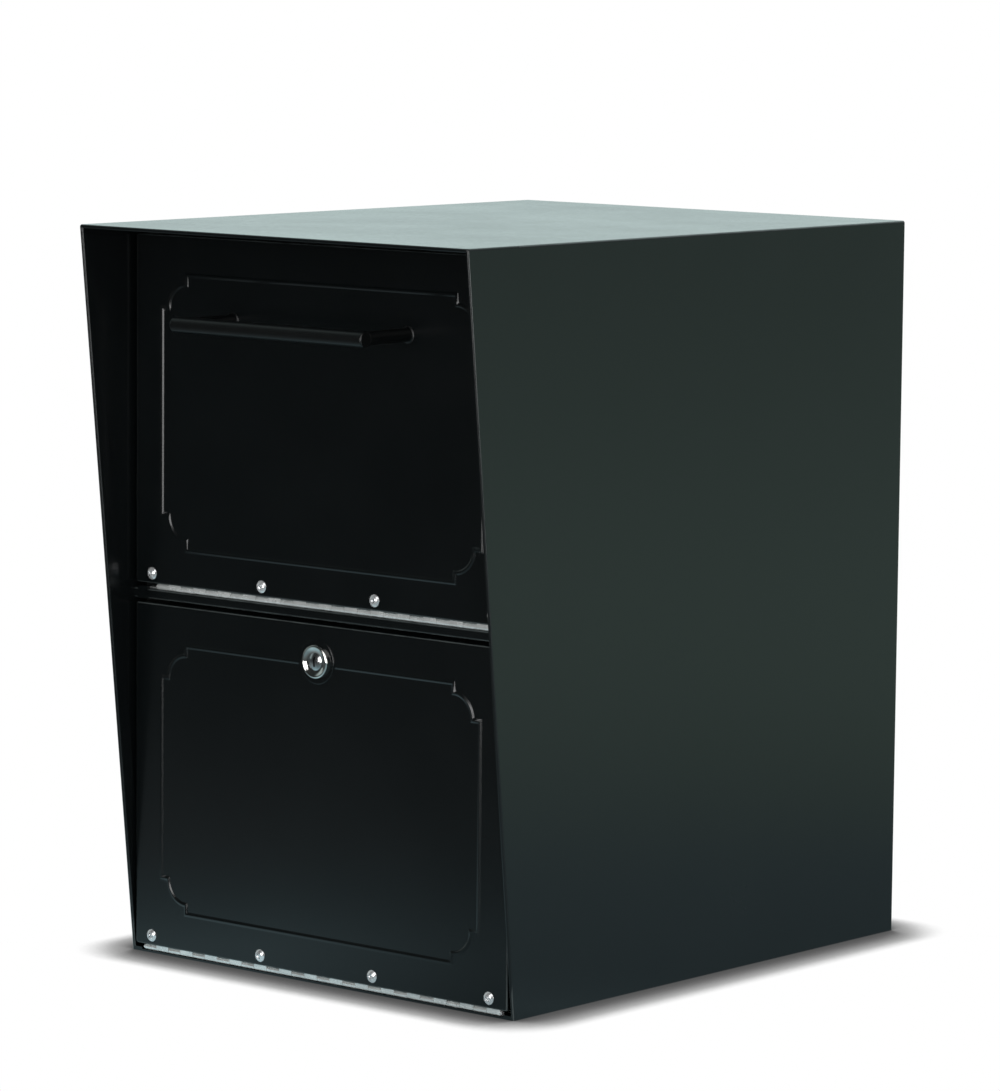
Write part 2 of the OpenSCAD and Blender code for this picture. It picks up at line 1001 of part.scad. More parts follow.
// The barrel with its bevelled bezel, bored for the plug.
module lock_housing() {
    seat = door_proud + escutcheon_t;
    bore_r = plug_r + plug_clear;
    color(bright) from_front()
        translate([0, barrel_end, lock_z])
            rotate([90, 0, 0])
                rotate_extrude()
                    polygon([
                        [bore_r, 0],
                        [barrel_r, 0],
                        [barrel_r, barrel_end + seat],
                        [bezel_r, barrel_end + seat],
                        [bezel_r, barrel_end + seat + bezel_t / 3],
                        [bezel_r - 2.5, barrel_end + bezel_front],
                        [bore_r, barrel_end + bezel_front]
                    ]);
}

module lock_nut() {
    color(zinc) from_front() difference() {
        translate([0, skin_back + lock_nut_t, lock_z])
            rotate([90, 0, 0])
                cylinder(r = lock_nut_r, h = lock_nut_t, $fn = 6);
        rod_y(0, lock_z, barrel_r + pin_clear, -1, lock_nut_t);
    }
}

module lock_plug() {
    face = -bezel_front + plug_recess;
    tail_end = barrel_end + cam_gap + cam_t;
    color(bright) from_front() difference() {
        union() {
            rod_y(0, lock_z, plug_r, face, barrel_end + cam_gap);
            translate([0, face + eps, lock_z])
                rotate([90, 0, 0])
                    dome(plug_r, plug_dome_h);
            block([-tail_half, barrel_end, lock_z - tail_half], [tail_half, tail_end, lock_z + tail_half]);
        }
        block([-keyway[0] / 2, -2 * bezel_front, lock_z - keyway[1] / 2],
              [keyway[0] / 2, face + keyway_d, lock_z + keyway[1] / 2]);
        rod_y(0, lock_z, cam_screw_r + pin_clear, tail_end - cam_screw_in, tail_end + 1);
    }
}

module lock_cam() {
    y = barrel_end + cam_gap;
    arm = cam_reach - cam_half_w;
    hole = tail_half + tail_clear;
    color(zinc) from_front()
        translate([0, 0, lock_z])
            facing(y, y + cam_t)
                difference() {
                    union() {
                        circle(r = cam_half_w);
                        square_from([-arm, -cam_half_w], [0, cam_half_w]);
                        translate([-arm, 0])
                            circle(r = cam_half_w);
                    }
                    square(2 * hole, center = true);
                }
}

module cam_washer() {
    y = barrel_end + cam_gap + cam_t;
    color(zinc) from_front() difference() {
        rod_y(0, lock_z, cam_washer_r, y, y + cam_washer_t);
        rod_y(0, lock_z, cam_screw_r + hole_clear, y - 1, y + 2 * cam_washer_t);
    }
}

module cam_screw() {
    tail_end = barrel_end + cam_gap + cam_t;
    seat = tail_end + cam_washer_t;
    color(bright) from_front() {
        rod_y(0, lock_z, cam_screw_r, tail_end - cam_screw_in + 1, seat + eps);
        translate([0, seat, lock_z])
            rotate([-90, 0, 0])
                dome(cam_screw_head_r, cam_screw_head_h);
    }
}

hood_shell();
back_panel();
back_rivets();
floor_pan();
left_jamb();
right_jamb();
header_rail();
cross_rail();
rail_end_clips();
baffle_plate();
stop_bumpers();
upper_seal();
lower_seal();
upper_frame_leaf();
upper_hinge_pin();
upper_leaf_rivets();
lower_frame_leaf();
lower_hinge_pin();
lower_leaf_rivets();
upper_door_skin();
upper_door_liner();
handle();
handle_screws();
upper_door_leaf();
upper_hinge_screws();
upper_hinge_nuts();
hopper_tray();
left_cheek();
right_cheek();
hopper_rivets();
stop_lugs();
lower_door_skin();
lower_door_liner();
lower_door_leaf();
lower_hinge_screws();
lower_hinge_nuts();
lock_escutcheon();
lock_housing();
lock_nut();
lock_plug();
lock_cam();
cam_washer();
cam_screw();
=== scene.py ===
"""Studio picture of a black steel parcel drop box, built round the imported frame."""

import json
import math

import bmesh
import bpy
from mathutils import Matrix, Vector
from mathutils.geometry import tessellate_polygon


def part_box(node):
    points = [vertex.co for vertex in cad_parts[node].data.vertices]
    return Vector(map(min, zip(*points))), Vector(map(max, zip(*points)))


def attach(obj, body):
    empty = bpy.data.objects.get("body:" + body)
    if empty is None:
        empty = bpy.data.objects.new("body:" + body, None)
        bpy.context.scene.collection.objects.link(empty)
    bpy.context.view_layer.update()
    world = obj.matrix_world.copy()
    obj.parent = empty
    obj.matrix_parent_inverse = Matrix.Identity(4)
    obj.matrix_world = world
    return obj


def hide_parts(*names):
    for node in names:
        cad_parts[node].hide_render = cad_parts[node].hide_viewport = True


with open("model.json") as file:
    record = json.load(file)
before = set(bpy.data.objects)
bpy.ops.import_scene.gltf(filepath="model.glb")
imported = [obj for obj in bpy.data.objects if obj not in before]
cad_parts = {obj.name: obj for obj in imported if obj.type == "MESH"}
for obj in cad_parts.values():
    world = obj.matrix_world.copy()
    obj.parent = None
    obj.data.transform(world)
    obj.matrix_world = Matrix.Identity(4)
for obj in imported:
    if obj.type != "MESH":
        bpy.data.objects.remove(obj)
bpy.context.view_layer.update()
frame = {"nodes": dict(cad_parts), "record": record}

MM = 0.001

# ---- Driving sizes, read from the frame ----

HOOD_LO, HOOD_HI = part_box("hood_shell")
PAN_LO, PAN_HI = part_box("floor_pan")
UPPER_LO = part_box("upper_door_skin")[0]
BAR_LO, BAR_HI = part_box("handle")
BEZEL_LO, BEZEL_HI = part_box("lock_housing")
WASHER_LO, WASHER_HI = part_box("lock_escutcheon")

HALF_W = HOOD_HI.x
HEIGHT = HOOD_HI.z
FRONT_Y = PAN_LO.y
REAR_Y = HOOD_HI.y
REACH = FRONT_Y - HOOD_LO.y
SHEET = HALF_W - PAN_HI.x
LOCK_X = (BEZEL_LO.x + BEZEL_HI.x) / 2
LOCK_Z = (BEZEL_LO.z + BEZEL_HI.z) / 2

# The raised bead on each door: its middle line, its section and its gap round the lock
PANEL_X = 158 * MM
UPPER_PANEL_Z = (311.2 * MM, 517.4 * MM)
LOWER_PANEL_Z = (34.6 * MM, 238.8 * MM)
CORNER_CUT = 25.4 * MM
CORNER_R = 18.3 * MM
BEAD_W = 4.0 * MM
BEAD_H = 0.9 * MM
BEAD_POWER = 1.3
BEAD_ROWS = 10
NOTCH_STEPS = 14
BREAK_GAP = 0.3 * MM
BREAK_X = (WASHER_HI.x - WASHER_LO.x) / 2 + BREAK_GAP
BREAK_RAMP = 1.2 * MM

SMOOTH_ANGLE = math.radians(40)
MERGE = 1e-6
BEND_STEPS = 6
LATHE_STEPS = 64
RING_STEPS = 96

# Painted highlight: a lighter colour painted on the bends of the sheets, where their edges catch the
# light
BEND_HIGHLIGHT_COLOUR = (0.055, 0.066, 0.066)
BEND_HIGHLIGHT_STEP = 0.2 * MM
# Largest part of the normal along one axis: above SQUARE no highlight is painted, below ROUND the
# painted highlight is full
SQUARE = 0.97
ROUND = 0.80

# Hood
HOOD_BEND = 1.9 * MM
HOOD_BEND_STEPS = 8
HEM_DEPTH = 12 * MM
HEM_EDGE = 0.3 * MM
HEM_STEPS = 12

# Folded edges of the doors
DOOR_BEND = 1.6 * MM
DOOR_CORNER_R = 2.2 * MM
DOOR_EDGE = 0.25 * MM

# Rail between the doors
RAIL_BACK_Z = 262 * MM
RAIL_BEND = 1.25 * MM

# Handle
BAR_R = (BAR_HI.z - BAR_LO.z) / 2
BAR_EDGE = 1.1 * MM
POST_X = 86 * MM
POST_R = 5 * MM
POST_FLARE = 1.5 * MM
END_SHARE = 0.45
CORE_SHARE = 0.02

# Screws
# The inner screws stand 56 mm from the middle of the row and the outer ones 168.4 mm.
INNER_SHARE = 56 / 168.4
SCREW_SHARES = (-1, -INNER_SHARE, INNER_SHARE, 1)
SCREW_HEAD_H = 2.4 * MM
SCREW_RIM = 0.35 * MM
SCREW_CORE_R = 0.02 * MM
DOME_TURN = math.radians(62)
DOME_STEPS = 10
SHANK_R = 2.4 * MM
RECESS_W = 1.4 * MM
RECESS_L = 5.2 * MM
RECESS_D = 1.9 * MM
FIRST_TURN = 25
TURN_BETWEEN = 37

# Lock
BORE_R = 6.55 * MM
BARREL_R = 9.5 * MM
RIM_STEPS = 10
RIM_FLAT = 0.4 * MM
RIM_STEP = 0.12 * MM
DISH_D = 1.4 * MM
DISH_STEPS = 8
THREAD_START = 3 * MM
THREAD_PITCH = 1.0 * MM
THREAD_D = 0.5 * MM
WASHER_GAP = 0.1 * MM


# ---- Mesh helpers ----


def new_object(name, mesh):
    """A linked object round a mesh."""
    obj = bpy.data.objects.new(name, mesh)
    bpy.context.scene.collection.objects.link(obj)
    return obj


def soften(obj, bevel=0.0, segments=1):
    """Smooth shading with true flat faces, and rounded edges where a width is given."""
    mesh = obj.data
    mesh.polygons.foreach_set("use_smooth", [True] * len(mesh.polygons))
    mesh.set_sharp_from_angle(angle=SMOOTH_ANGLE)
    if bevel:
        cut = obj.modifiers.new("edge", "BEVEL")
        cut.width = bevel
        cut.segments = segments
        cut.limit_method = "ANGLE"
        cut.angle_limit = SMOOTH_ANGLE
        cut.use_clamp_overlap = True
        cut.harden_normals = False
    weigh = obj.modifiers.new("normals", "WEIGHTED_NORMAL")
    weigh.keep_sharp = True
    weigh.weight = 100


def mesh_object(name, verts, faces):
    """A cleaned closed mesh from points and faces. A face given twice is made once."""
    mesh = bpy.data.meshes.new(name)
    bm = bmesh.new()
    points = [bm.verts.new(v) for v in verts]
    for face in faces:
        corners = []
        for i in face:
            if points[i] not in corners:
                corners.append(points[i])
        if len(corners) > 2:
            try:
                bm.faces.new(corners)
            except ValueError:
                pass
    bmesh.ops.remove_doubles(bm, verts=bm.verts, dist=MERGE)
    bmesh.ops.dissolve_degenerate(bm, edges=bm.edges, dist=MERGE)
    bmesh.ops.recalc_face_normals(bm, faces=bm.faces)
    bm.to_mesh(mesh)
    bm.free()
    obj = new_object(name, mesh)
    soften(obj)
    return obj


def loft(rings, closed_along=False, caps=True, start=0):
    """Faces that join rings with equal point counts; indices begin at `start`."""
    count = len(rings[0])
    faces = []
    steps = len(rings) if closed_along else len(rings) - 1
    for r in range(steps):
        a = start + r * count
        b = start + ((r + 1) % len(rings)) * count
        for i in range(count):
            j = (i + 1) % count
            faces.append((a + i, a + j, b + j, b + i))
    if caps and not closed_along:
        last = start + (len(rings) - 1) * count
        faces.append(tuple(range(start, start + count)))
        faces.append(tuple(last + i for i in range(count)))
    return faces


def loft_object(name, rings, closed_along=False):
    verts = [p for ring in rings for p in ring]
    return mesh_object(name, verts, loft(rings, closed_along))


def arc(centre, radius, start, end, steps):
    """Points of an arc in a plane, angles in radians."""
    turns = [start + (end - start) * i / steps for i in range(steps + 1)]
    return [(centre[0] + radius * math.cos(t), centre[1] + radius * math.sin(t)) for t in turns]


def lathe_y(name, profile, x, z):
    """A turned piece about a Y axis through (x, z), from (radius, y) points."""
    rings = []
    for radius, y in profile:
        turns = [math.tau * i / LATHE_STEPS for i in range(LATHE_STEPS)]
        rings.append([(x + radius * math.cos(t), y, z + radius * math.sin(t)) for t in turns])
    return loft_object(name, rings)


def lathe_x(name, profile, y, z):
    """A turned piece about an X axis through (y, z), from (radius, x) points."""
    rings = []
    for radius, x in profile:
        turns = [math.tau * i / LATHE_STEPS for i in range(LATHE_STEPS)]
        rings.append([(x, y + radius * math.cos(t), z + radius * math.sin(t)) for t in turns])
    return loft_object(name, rings)


def loft_ring(name, profile, x, z):
    """A turned ring about a Y axis: the (radius, y) profile is a closed loop."""
    rings = []
    for i in range(RING_STEPS):
        t = math.tau * i / RING_STEPS
        rings.append([(x + r * math.cos(t), y, z + r * math.sin(t)) for r, y in profile])
    return loft_object(name, rings, closed_along=True)


def join_meshes(name, objects):
    """One object from several, modifiers applied."""
    dg = bpy.context.evaluated_depsgraph_get()
    bm = bmesh.new()
    for obj in objects:
        shape = bpy.data.meshes.new_from_object(obj.evaluated_get(dg))
        bm.from_mesh(shape)
        bpy.data.meshes.remove(shape)
    mesh = bpy.data.meshes.new(name)
    bm.to_mesh(mesh)
    bm.free()
    for obj in objects:
        bpy.data.objects.remove(obj)
    made = new_object(name, mesh)
    soften(made)
    return made


def cut_from(obj, tool, operation="DIFFERENCE"):
    """Takes the tool's volume out of the object and removes the tool."""
    cut = obj.modifiers.new("cut", "BOOLEAN")
    cut.operation = operation
    cut.solver = "EXACT"
    cut.object = tool
    dg = bpy.context.evaluated_depsgraph_get()
    shape = bpy.data.meshes.new_from_object(obj.evaluated_get(dg))
    obj.modifiers.clear()
    obj.data = shape
    bpy.data.objects.remove(tool)
    soften(obj)


def unite(obj, other):
    """Makes one closed solid from the object and another, which is removed."""
    cut_from(obj, other, operation="UNION")


def box_tool(name, low, high):
    """A plain cutting block, used only as a boolean tool."""
    bm = bmesh.new()
    bmesh.ops.create_cube(bm, size=1.0)
    size = [high[i] - low[i] for i in range(3)]
    middle = [(high[i] + low[i]) / 2 for i in range(3)]
    bmesh.ops.scale(bm, vec=size, verts=bm.verts)
    bmesh.ops.translate(bm, vec=middle, verts=bm.verts)
    mesh = bpy.data.meshes.new(name)
    bm.to_mesh(mesh)
    bm.free()
    return new_object(name, mesh)


def adopt(obj, body, node, material):
    """Gives a piece its material and its body, and hides the CAD node it stands for."""
    obj.data.materials.clear()
    obj.data.materials.append(material)
    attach(obj, body)
    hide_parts(node)


# ---- Materials ----


class Shader:
    """A short way to write one material's nodes."""

    def __init__(self, name):
        self.material = bpy.data.materials.new(name)
        self.material.use_nodes = True
        self.tree = self.material.node_tree
        self.tree.nodes.clear()
        self.out = self.add("ShaderNodeOutputMaterial")
        self.bsdf = self.add("ShaderNodeBsdfPrincipled")
        self.link(self.bsdf.outputs["BSDF"], self.out.inputs["Surface"])
        self.place = self.add("ShaderNodeTexCoord").outputs["Object"]

    def add(self, kind, **settings):
        node = self.tree.nodes.new(kind)
        for key, value in settings.items():
            setattr(node, key, value)
        return node

    def link(self, a, b):
        self.tree.links.new(a, b)

    def stretch(self, scale):
        """Object coordinates stretched by a scale on each axis."""
        mapping = self.add("ShaderNodeMapping")
        mapping.inputs["Scale"].default_value = scale
        self.link(self.place, mapping.inputs["Vector"])
        return mapping.outputs["Vector"]

    def noise(self, scale, detail=3.0, rough=0.5, where=None):
        node = self.add("ShaderNodeTexNoise")
        node.inputs["Scale"].default_value = scale
        node.inputs["Detail"].default_value = detail
        node.inputs["Roughness"].default_value = rough
        self.link(where or self.place, node.inputs["Vector"])
        return node.outputs["Fac"]

    def cells(self, scale):
        node = self.add("ShaderNodeTexVoronoi", feature="SMOOTH_F1")
        node.inputs["Scale"].default_value = scale
        node.inputs["Smoothness"].default_value = 0.8
        self.link(self.place, node.inputs["Vector"])
        return node.outputs["Distance"]

    def ramp(self, value, stops):
        node = self.add("ShaderNodeValToRGB")
        while len(node.color_ramp.elements) < len(stops):
            node.color_ramp.elements.new(0.5)
        for element, (at, colour) in zip(node.color_ramp.elements, stops):
            element.position = at
            element.color = (*colour, 1)
        self.link(value, node.inputs["Fac"])
        return node.outputs["Color"]

    def span(self, value, low, high, out_low, out_high):
        node = self.add("ShaderNodeMapRange")
        node.inputs["From Min"].default_value = low
        node.inputs["From Max"].default_value = high
        node.inputs["To Min"].default_value = out_low
        node.inputs["To Max"].default_value = out_high
        self.link(value, node.inputs["Value"])
        return node.outputs["Result"]

    def maths(self, operation, a, b):
        node = self.add("ShaderNodeMath", operation=operation)
        for socket, value in zip(node.inputs, (a, b)):
            if isinstance(value, (int, float)):
                socket.default_value = value
            else:
                self.link(value, socket)
        return node.outputs["Value"]

    def bump(self, height, distance, normal=None):
        node = self.add("ShaderNodeBump")
        node.inputs["Distance"].default_value = distance
        self.link(height, node.inputs["Height"])
        if normal is not None:
            self.link(normal, node.inputs["Normal"])
        return node.outputs["Normal"]

    def bends(self):
        """A mask of the sheets' bent edges, where a lighter colour is painted as a highlight: where the
        surface faces between the object's own axes, with uneven strength along the edge.

        The beads stand proud of the doors' faces and are left out.
        """
        normal = self.add("ShaderNodeSeparateXYZ")
        self.link(self.add("ShaderNodeTexCoord").outputs["Normal"], normal.inputs["Vector"])
        x, y, z = (self.maths("ABSOLUTE", normal.outputs[axis], 0.0) for axis in "XYZ")
        squarest = self.maths("MAXIMUM", self.maths("MAXIMUM", x, y), z)
        turned = self.span(squarest, SQUARE, ROUND, 0.0, 1.0)
        place = self.add("ShaderNodeSeparateXYZ")
        self.link(self.place, place.inputs["Vector"])
        face_y = UPPER_LO.y + BEAD_H
        behind = self.span(place.outputs["Y"], face_y - BEND_HIGHLIGHT_STEP, face_y, 0.0, 1.0)
        patchy = self.span(self.noise(scale=55.0, rough=0.6), 0.35, 0.6, 0.5, 1.0)
        return self.maths("MULTIPLY", self.maths("MULTIPLY", turned, behind), patchy)

    def blend(self, factor, colour, other):
        node = self.add("ShaderNodeMix", data_type="RGBA")
        self.link(factor, node.inputs["Factor"])
        self.link(colour, node.inputs[6])
        node.inputs[7].default_value = (*other, 1)
        return node.outputs[2]

    def set(self, **values):
        for key, value in values.items():
            self.bsdf.inputs[key.replace("_", " ")].default_value = value

    def feed(self, output, name):
        self.link(output, self.bsdf.inputs[name])


def powder_coat(name, colour, rough, peel=0.000006, mottle=0.12):
    """Black powder coat: an orange-peel skin with faint cloudy variation in tone and gloss, and a
    highlight painted in a lighter colour along its bends.
    """
    s = Shader(name)
    dark = [c * (1 - mottle) for c in colour]
    light = [c * (1 + mottle) for c in colour]
    cloud = s.noise(scale=9.0, detail=4.0, rough=0.6)
    coat = s.ramp(cloud, [(0.3, dark), (0.7, light)])
    # The painted highlight on the bends is mixed into the base colour here.
    s.feed(s.blend(s.bends(), coat, BEND_HIGHLIGHT_COLOUR), "Base Color")
    fine = s.noise(scale=260.0, detail=2.0)
    gloss = s.maths("ADD", s.span(cloud, 0.3, 0.7, rough - 0.02, rough + 0.02),
                    s.span(fine, 0.3, 0.7, -0.015, 0.015))
    s.feed(gloss, "Roughness")
    s.set(IOR=1.5)
    skin = s.noise(scale=420.0, detail=2.0, rough=0.45)
    coarse = s.bump(s.noise(scale=3.2, detail=1.0, rough=0.4), 0.0003)
    s.feed(s.bump(skin, peel, coarse), "Normal")
    return s.material


def plated(name, colour, rough, grain=(40, 900, 900), metallic=1.0):
    """Zinc or nickel plate with fine drawn grain and a cloudy passivated film."""
    s = Shader(name)
    cloud = s.noise(scale=70.0, detail=4.0, rough=0.6)
    dark = [c * 0.82 for c in colour]
    s.feed(s.ramp(cloud, [(0.35, dark), (0.65, colour)]), "Base Color")
    lines = s.noise(scale=1.0, detail=2.0, where=s.stretch(grain))
    s.feed(s.maths("ADD", s.span(cloud, 0.3, 0.7, rough - 0.04, rough + 0.06),
                   s.span(lines, 0.3, 0.7, -0.04, 0.04)), "Roughness")
    s.set(Metallic=metallic)
    s.feed(s.bump(lines, 0.00001), "Normal")
    return s.material


def chrome(name, colour, rough):
    """Polished plate with hairline scratches."""
    s = Shader(name)
    haze = s.noise(scale=180.0, rough=0.6)
    scratch = s.noise(scale=1.0, detail=2.0, where=s.stretch((2500, 300, 120)))
    s.feed(s.ramp(haze, [(0.3, [c * 0.93 for c in colour]), (0.7, colour)]), "Base Color")
    s.feed(s.maths("ADD", s.span(haze, 0.3, 0.7, rough, rough + 0.05),
                   s.span(scratch, 0.62, 0.75, 0.0, 0.08)), "Roughness")
    s.set(Metallic=1.0)
    s.feed(s.bump(scratch, 0.000004), "Normal")
    return s.material


def foam_rubber(name):
    """Matt closed-cell foam strip."""
    s = Shader(name)
    pores = s.cells(900.0)
    dark, light = (0.008, 0.008, 0.008), (0.024, 0.024, 0.025)
    s.feed(s.ramp(pores, [(0.0, dark), (0.6, light)]), "Base Color")
    s.feed(s.span(pores, 0.0, 0.6, 0.75, 0.9), "Roughness")
    s.feed(s.bump(pores, 0.0002), "Normal")
    return s.material


CASING = powder_coat("casing_paint", (0.0025, 0.0038, 0.0042), 0.24)
DOOR = powder_coat("door_paint", (0.0024, 0.0037, 0.0041), 0.22)
HANDLE = powder_coat("handle_paint", (0.0012, 0.0020, 0.0022), 0.32)
INNER = powder_coat("inner_paint", (0.0050, 0.0070, 0.0070), 0.40, 0.00002, 0.2)
ZINC = plated("zinc_plate", (0.84, 0.87, 0.86), 0.24, metallic=0.55)
BRIGHT = plated("bright_steel", (0.90, 0.91, 0.92), 0.14, (500, 500, 500), 0.7)
CHROME = chrome("lock_chrome", (0.93, 0.91, 0.88), 0.06)
PLUG = chrome("plug_metal", (0.74, 0.75, 0.76), 0.14)
RUBBER = foam_rubber("rubber")

MATERIAL_OF = {
    "casing_paint": CASING,
    "door_paint": DOOR,
    "handle_paint": HANDLE,
    "inner_paint": INNER,
    "zinc_plate": ZINC,
    "bright_steel": BRIGHT,
    "lock_chrome": CHROME,
    "plug_metal": PLUG,
    "rubber": RUBBER,
}
# Softened edges by slot, and wider bends on two folded nodes
BEVEL_OF = {"casing_paint": 0.35 * MM, "inner_paint": 0.3 * MM, "door_paint": 0.3 * MM}
OTHER_BEVEL = 0.12 * MM
BEVEL_SEGMENTS = 2
BEND_OF = {"rail_end_clips": 0.5 * MM, "floor_pan": 0.6 * MM}
BEND_SEGMENTS = 4


def dress_cad_nodes():
    """Every CAD node that stays gets its slot's material and softly rounded edges."""
    for part in frame["record"]["subparts"]:
        obj = frame["nodes"][part["node"]]
        name = part["material_slot"]
        obj.data.materials.clear()
        obj.data.materials.append(MATERIAL_OF[name])
        if part["node"] in BEND_OF:
            soften(obj, BEND_OF[part["node"]], BEND_SEGMENTS)
        else:
            soften(obj, BEVEL_OF.get(name, OTHER_BEVEL), BEVEL_SEGMENTS)


# ---- Casing ----


def hood_edge(z):
    """Y of the slanted front edge at a height."""
    return FRONT_Y - REACH * z / HEIGHT


def hood_path():
    """Stations round the hood's two bends: a bend's centre, the way out from it, and its side."""
    stations = []
    for side, start, end in ((-1, math.pi, math.pi / 2), (1, math.pi / 2, 0.0)):
        centre = (side * (HALF_W - HOOD_BEND), HEIGHT - HOOD_BEND)
        for i in range(HOOD_BEND_STEPS + 1):
            t = start + (end - start) * i / HOOD_BEND_STEPS
            stations.append((*centre, math.cos(t), math.sin(t), side))
    return stations


def hood_shell():
    """The folded hood: one sheet over both sides and the top, hemmed round its front edge."""
    # Each point's distance behind the front edge, or None at the rear, and in from the outer face
    profile = [(None, 0.0), (SHEET, 0.0)]
    for i in range(1, HEM_STEPS):
        turn = math.pi * i / HEM_STEPS
        profile.append((SHEET - SHEET * math.sin(turn), SHEET - SHEET * math.cos(turn)))
    profile += [(SHEET, 2 * SHEET), (HEM_DEPTH - HEM_EDGE, 2 * SHEET)]
    profile += [(HEM_DEPTH, 2 * SHEET - HEM_EDGE), (HEM_DEPTH, SHEET), (None, SHEET)]

    def ring(place, z_outer):
        points = []
        for behind, inward in profile:
            x, z = place(inward)
            y = REAR_Y if behind is None else hood_edge(z_outer) + behind
            points.append((x, y, z))
        return points

    rings = [ring(lambda inward: (-HALF_W + inward, 0.0), 0.0)]
    for cx, cz, c, s, side in hood_path():
        def place(inward, cx=cx, cz=cz, c=c, s=s, side=side):
            left = HOOD_BEND - inward
            if left > 0:
                return cx + left * c, cz + left * s
            return cx + left * side, cz + left
        rings.append(ring(place, cz + HOOD_BEND * s))
    rings.append(ring(lambda inward: (HALF_W - inward, 0.0), 0.0))
    hood = loft_object("hood_sheet", rings)
    adopt(hood, "casing", "hood_shell", CASING)


def folded(path, thickness, radius):
    """Closed outline of a bent sheet whose middle follows a path with square corners."""
    corners = [Vector(point) for point in path]
    stations = [(corners[0], (corners[1] - corners[0]).normalized())]
    for before, here, after in zip(corners, corners[1:], corners[2:]):
        u = (before - here).normalized()
        v = (after - here).normalized()
        centre = here + (u + v) * radius
        for i in range(BEND_STEPS + 1):
            t = math.pi / 2 * i / BEND_STEPS
            out = -v * math.cos(t) - u * math.sin(t)
            stations.append((centre + out * radius, v * math.sin(t) - u * math.cos(t)))
    stations.append((corners[-1], (corners[-1] - corners[-2]).normalized()))
    half = thickness / 2
    one = [(p.x - half * d.y, p.y + half * d.x) for p, d in stations]
    other = [(p.x + half * d.y, p.y - half * d.x) for p, d in stations]
    return one + other[::-1]


def cross_rail():
    """The folded rail between the doors, with the strike that the lock's cam turns up behind."""
    low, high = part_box("cross_rail")
    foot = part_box("rail_end_clips")[0].z
    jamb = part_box("right_jamb")[0]
    half = SHEET / 2
    strike_y = jamb.y + half
    outline_yz = folded([
        (high.y - half, RAIL_BACK_Z),
        (high.y - half, high.z - half),
        (low.y + half, high.z - half),
        (low.y + half, foot + half),
        (strike_y, foot + half),
        (strike_y, low.z),
    ], SHEET, RAIL_BEND)
    rail = loft_object("rail_sheet", [[(x, y, z) for y, z in outline_yz] for x in (low.x, high.x)])
    # The jambs pass through a notch at each end.
    for side in (-1, 1):
        ends = sorted((side * jamb.x, side * 2 * HALF_W))
        notch_low = (ends[0], jamb.y, low.z - MM)
        notch_high = (ends[1], high.y + MM, high.z + MM)
        cut_from(rail, box_tool("notch", notch_low, notch_high))
    adopt(rail, "casing", "cross_rail", DOOR)


# ---- Doors ----


def outline(z_range, inset):
    """The notched panel outline drawn in by an inset, with points where the lock breaks it."""
    z_mid = (z_range[0] + z_range[1]) / 2
    half_z = (z_range[1] - z_range[0]) / 2
    cx = PANEL_X - CORNER_CUT
    cz = half_z - CORNER_CUT
    radius = CORNER_R - inset
    tip = math.asin(inset / radius)
    points = []
    for sx, sz in ((1, 1), (-1, 1), (-1, -1), (1, -1)):
        corner = [(PANEL_X - inset, cz - inset)]
        corner += arc((cx, cz), radius, -tip, math.pi / 2 + tip, NOTCH_STEPS)
        corner += [(cx - inset, half_z - inset)]
        if sx * sz < 0:
            corner.reverse()
        points += [(sx * x, z_mid + sz * z) for x, z in corner]
        if (sx, sz) == (1, 1):
            for x in (BREAK_X + BREAK_RAMP, BREAK_X, -BREAK_X, -BREAK_X - BREAK_RAMP):
                points.append((x, z_mid + half_z - inset))
    return points


def bead_height(x, z, share):
    """How far a bead stands proud of the face: a soft arch that stops short of the lock."""
    if abs(z - LOCK_Z) < BREAK_X and abs(x) < BREAK_X + BREAK_RAMP / 2:
        return 0.0
    return BEAD_H * math.sin(math.pi * share) ** BEAD_POWER


def bead_rows(z_range, face_y):
    """Rings across the raised bead, from its outer foot to its inner foot."""
    rings = []
    for i in range(BEAD_ROWS + 1):
        share = i / BEAD_ROWS
        inset = BEAD_W * (share - 0.5)
        points = outline(z_range, inset)
        rings.append([(x, face_y - bead_height(x, z, share), z) for x, z in points])
    return rings


def door_rows(low, high):
    """Rings round a door's folded sheet, from the face over the bend and inside again."""
    face, back = low.y, high.y
    inner = face + SHEET
    rows = []
    for i in range(BEND_STEPS + 1):
        t = math.pi / 2 * i / BEND_STEPS
        y = face + DOOR_BEND * (1 - math.cos(t))
        rows.append((DOOR_BEND * (1 - math.sin(t)), y, min(y, inner)))
    rows += [(0.0, back - DOOR_EDGE, inner), (DOOR_EDGE, back, inner)]
    rows += [(SHEET - DOOR_EDGE, back, inner), (SHEET, back - DOOR_EDGE, inner)]
    rows += [(SHEET, inner, inner)]
    rings = []
    for inset, y_side, y_foot in rows:
        left = DOOR_CORNER_R - inset
        ring = []
        for sx, sz, start in ((1, 1, 0), (-1, 1, 90), (-1, -1, 180), (1, -1, 270)):
            cx = (high.x - DOOR_CORNER_R) * sx
            cz = high.z - DOOR_CORNER_R if sz > 0 else low.z + DOOR_CORNER_R
            for i in range(BEND_STEPS + 1):
                t = math.radians(start + 90 * i / BEND_STEPS)
                c, s = (math.cos(t), math.sin(t)) if left > 0 else (sx, sz)
                # The foot has no return flange, which leaves room for the hinge.
                share = abs(math.cos(t)) ** 0.5 if sz < 0 else 1.0
                ring.append((cx + left * c, y_foot + (y_side - y_foot) * share, cz + left * s))
        rings.append(ring)
    return rings


